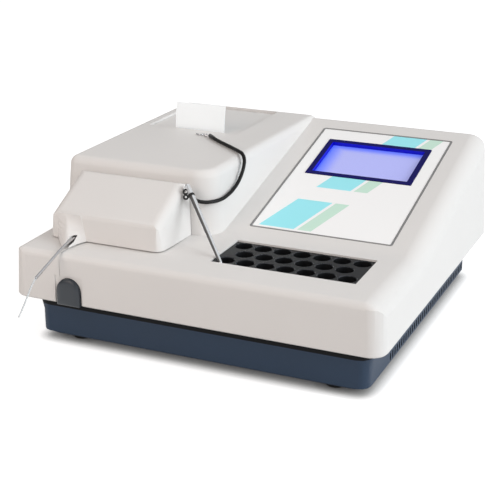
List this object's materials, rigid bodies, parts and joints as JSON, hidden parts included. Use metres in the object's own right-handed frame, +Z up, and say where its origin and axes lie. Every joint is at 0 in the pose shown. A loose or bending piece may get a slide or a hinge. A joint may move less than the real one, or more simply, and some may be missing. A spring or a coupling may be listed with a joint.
{
  "type": "chemistry analyzer",
  "caption": "Bench-top semi-automatic chemistry analyzer with a heated tube block, a sloped touch display, a strip printer, and a hinged hood over its pump and flow cell.",
  "frame": {"origin": "on the bench below the middle of the analyzer's box, cords left out", "axes": "+Z up, -Y to the front where the sipper and the button are, +X to the right of someone facing it"},
  "size_m": [0.3638, 0.4107, 0.184],
  "materials": {
    "housing_plastic": "pale grey-white moulding with a soft sheen",
    "base_plastic": "dark slate blue moulding",
    "button_plastic": "dark slate",
    "incubator_metal": "black anodised",
    "foot_rubber": "matt black",
    "cord_rubber": "matt black",
    "bright_steel": "bright drawn steel",
    "sheet_steel": "zinc plated sheet",
    "trim_metal": "satin grey",
    "panel_print": "white printed sheet with slanting cyan and pale green bands",
    "bezel_plastic": "navy",
    "display_glass": "lit periwinkle",
    "circuit_board": "green solder mask",
    "printer_paper": "matt white paper",
    "clear_tubing": "clear",
    "bare_aluminium": "machined",
    "black_plastic": "matt black",
    "rotor_plastic": "natural white"
  },
  "bodies": {
    "analyzer": {"upper_housing": "housing_plastic", "base_tray": "base_plastic", "foot_front_left": "foot_rubber", "foot_front_right": "foot_rubber", "foot_rear_right": "foot_rubber", "foot_rear_left": "foot_rubber", "housing_screw_front_left": "bright_steel", "housing_screw_front_right": "bright_steel", "housing_screw_rear_right": "bright_steel", "housing_screw_rear_left": "bright_steel", "incubator_block": "incubator_metal", "incubator_heater": "bare_aluminium", "incubator_bracket": "sheet_steel", "panel_trim": "trim_metal", "panel_sheet": "panel_print", "display_bezel": "bezel_plastic", "touch_glass": "display_glass", "display_module": "black_plastic", "display_board": "circuit_board", "hood_hinge_pin": "bright_steel", "hood_hinge_bracket": "sheet_steel", "sipper_tube": "bright_steel", "sipper_tubing": "clear_tubing", "sip_switch": "black_plastic", "printer_mechanism": "black_plastic", "paper_strip": "printer_paper", "stylus": "bright_steel", "lanyard_cord": "cord_rubber", "lanyard_clip": "bright_steel", "pump_housing": "black_plastic", "pump_tube": "clear_tubing", "pump_motor": "sheet_steel", "flow_cell": "bare_aluminium", "detector": "black_plastic", "optics_stand": "bare_aluminium", "lens_tube": "incubator_metal", "filter_motor": "sheet_steel", "lamp_housing": "bare_aluminium", "main_board": "circuit_board", "power_supply": "bare_aluminium", "rear_panel": "sheet_steel", "power_inlet": "black_plastic", "switch_frame": "black_plastic", "serial_port": "sheet_steel", "fan_frame": "black_plastic", "fan_guard": "bright_steel"},
    "hood": {"pump_hood": "housing_plastic"},
    "lid": {"printer_lid": "housing_plastic"},
    "button": {"sip_button": "button_plastic"},
    "roll": {"paper_roll": "printer_paper"},
    "platen": {"platen_roller": "foot_rubber"},
    "pump_wheel": {"pump_rotor": "rotor_plastic"},
    "filters": {"filter_wheel": "incubator_metal"},
    "fan": {"fan_rotor": "black_plastic"},
    "rocker": {"power_rocker": "black_plastic"}
  },
  "joints": [
    {"name": "hood_hinge", "type": "hinge", "parent": "analyzer", "child": "hood", "pos_m": [-0.1025, -0.07267, 0.1395], "axis": [-1, 0, 0], "range_deg": [0, 75]},
    {"name": "printer_lid_hinge", "type": "hinge", "parent": "analyzer", "child": "lid", "pos_m": [-0.111, 0.18301, 0.1522], "axis": [-1, 0, 0], "range_deg": [0, 80]},
    {"name": "sip_button_travel", "type": "slide", "parent": "analyzer", "child": "button", "axis": [0, 1, 0], "range_m": [0, 0.004], "stiffness_N_per_m": 400},
    {"name": "paper_roll_turn", "type": "hinge", "parent": "analyzer", "child": "roll", "pos_m": [-0.104, 0.13621, 0.127], "axis": [1, 0, 0], "continuous": true},
    {"name": "platen_turn", "type": "hinge", "parent": "analyzer", "child": "platen", "pos_m": [-0.104, 0.08588, 0.1466], "axis": [1, 0, 0], "continuous": true},
    {"name": "pump_turn", "type": "hinge", "parent": "analyzer", "child": "pump_wheel", "pos_m": [-0.076, -0.09879, 0.105], "axis": [0, 0, 1], "continuous": true},
    {"name": "filter_wheel_turn", "type": "hinge", "parent": "analyzer", "child": "filters", "pos_m": [-0.1005, -0.0418, 0.11], "axis": [0, 1, 0], "continuous": true},
    {"name": "fan_turn", "type": "hinge", "parent": "analyzer", "child": "fan", "pos_m": [0.02, 0.19821, 0.09095], "axis": [0, 0.999, 0.0454], "continuous": true},
    {"name": "power_rocker_tip", "type": "hinge", "parent": "analyzer", "child": "rocker", "pos_m": [-0.05, 0.19176, 0.07865], "axis": [1, 0, 0], "range_deg": [0, 20]}
  ],
  "couplings": [
    {"joint": "platen_turn", "follows": "paper_roll_turn", "ratio": 4}
  ]
}
